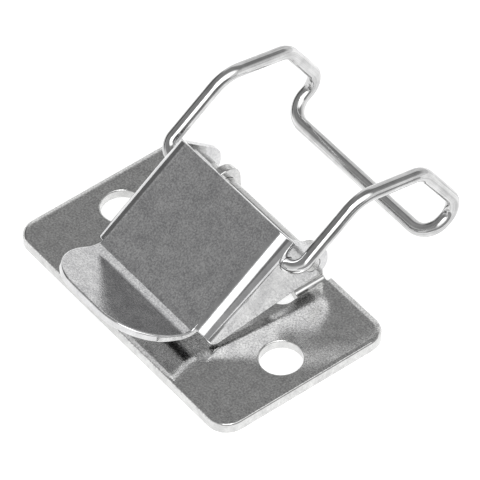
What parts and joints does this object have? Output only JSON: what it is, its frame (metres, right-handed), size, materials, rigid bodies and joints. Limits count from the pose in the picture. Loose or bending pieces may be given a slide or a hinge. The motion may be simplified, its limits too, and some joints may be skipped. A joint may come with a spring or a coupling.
{
  "type": "toggle latch",
  "caption": "Surface-mounted toggle latch: stamped base plate with folded ears, folded lever with a finger tab, and a hooked wire bail that pulls on a keeper",
  "frame": {"origin": "middle of the base plate's underside, on the line of the two screw holes", "axes": "X along the base plate and along both pivots, Y towards the side where the bail hooks its keeper, Z away from the mounting surface"},
  "size_m": [0.066, 0.0727, 0.025],
  "materials": {
    "plate_steel": "tumbled stainless sheet, fine mottled grain, softened bright edges",
    "lever_steel": "tumbled stainless sheet, bright folds",
    "pin_steel": "bright stainless pin, riveted ends",
    "wire_steel": "polished round stainless wire"
  },
  "bodies": {
    "base": {"base_plate": "plate_steel"},
    "lever": {"lever": "lever_steel", "pivot_pin": "pin_steel"},
    "bail": {"wire_bail": "wire_steel"}
  },
  "joints": [
    {"name": "lever_pivot", "type": "hinge", "parent": "base", "child": "lever", "pos_m": [0, 0.0154, 0.00885], "axis": [1, 0, 0], "range_deg": [-120, 1]},
    {"name": "bail_pivot", "type": "hinge", "parent": "lever", "child": "bail", "pos_m": [0, 0.009, 0.01375], "axis": [1, 0, 0], "range_deg": [-6, 170]}
  ]
}
